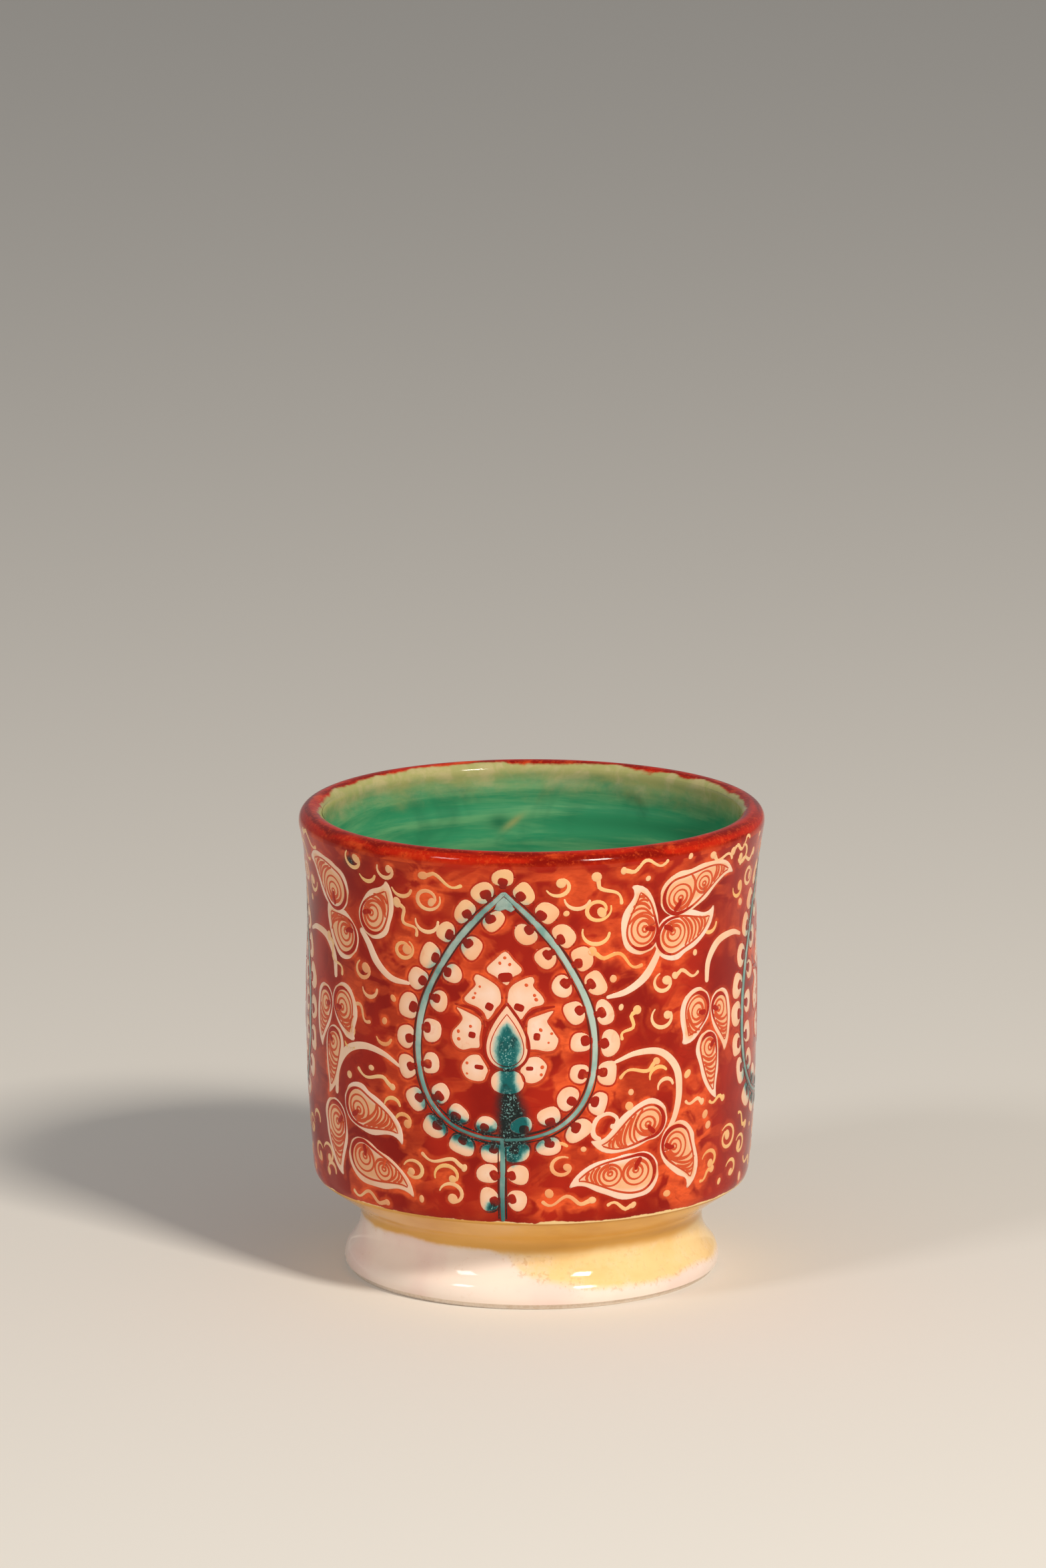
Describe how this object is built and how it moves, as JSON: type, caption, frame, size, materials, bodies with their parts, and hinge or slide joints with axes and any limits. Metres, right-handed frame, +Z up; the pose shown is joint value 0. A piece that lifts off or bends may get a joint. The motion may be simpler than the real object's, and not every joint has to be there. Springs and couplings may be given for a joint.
{
  "type": "footed drinking cup",
  "caption": "Handleless ceramic cup with a gently flared lip on a hollow flared foot, painted red outside with cream and teal ornament and glazed green inside.",
  "frame": {"origin": "middle of the standing ring, on the plane the foot stands on", "axes": "+Z up along the axis of the cup; -Y faces the viewer of the picture; the cup is a figure of revolution apart from its painting"},
  "size_m": [0.086, 0.086, 0.087],
  "materials": {
    "clay": "bare buff earthenware",
    "foot_clay": "bare pale earthenware",
    "joint_slip": "wiped slip",
    "white_ground": "white slip",
    "red_paint": "brushed red paint under clear glaze",
    "rim_paint": "dark red paint under clear glaze",
    "green_glaze": "brushed green glaze",
    "honey_glaze": "pooled honey glaze",
    "clear_glaze": "clear glaze on pale clay"
  },
  "bodies": {
    "root": {"cup_body": "clay", "foot_ring": "foot_clay", "luting_slip": "joint_slip", "white_slip": "white_ground", "red_ground": "red_paint", "rim_band": "rim_paint", "inside_glaze": "green_glaze", "neck_glaze": "honey_glaze", "foot_glaze": "clear_glaze"}
  },
  "joints": []
}
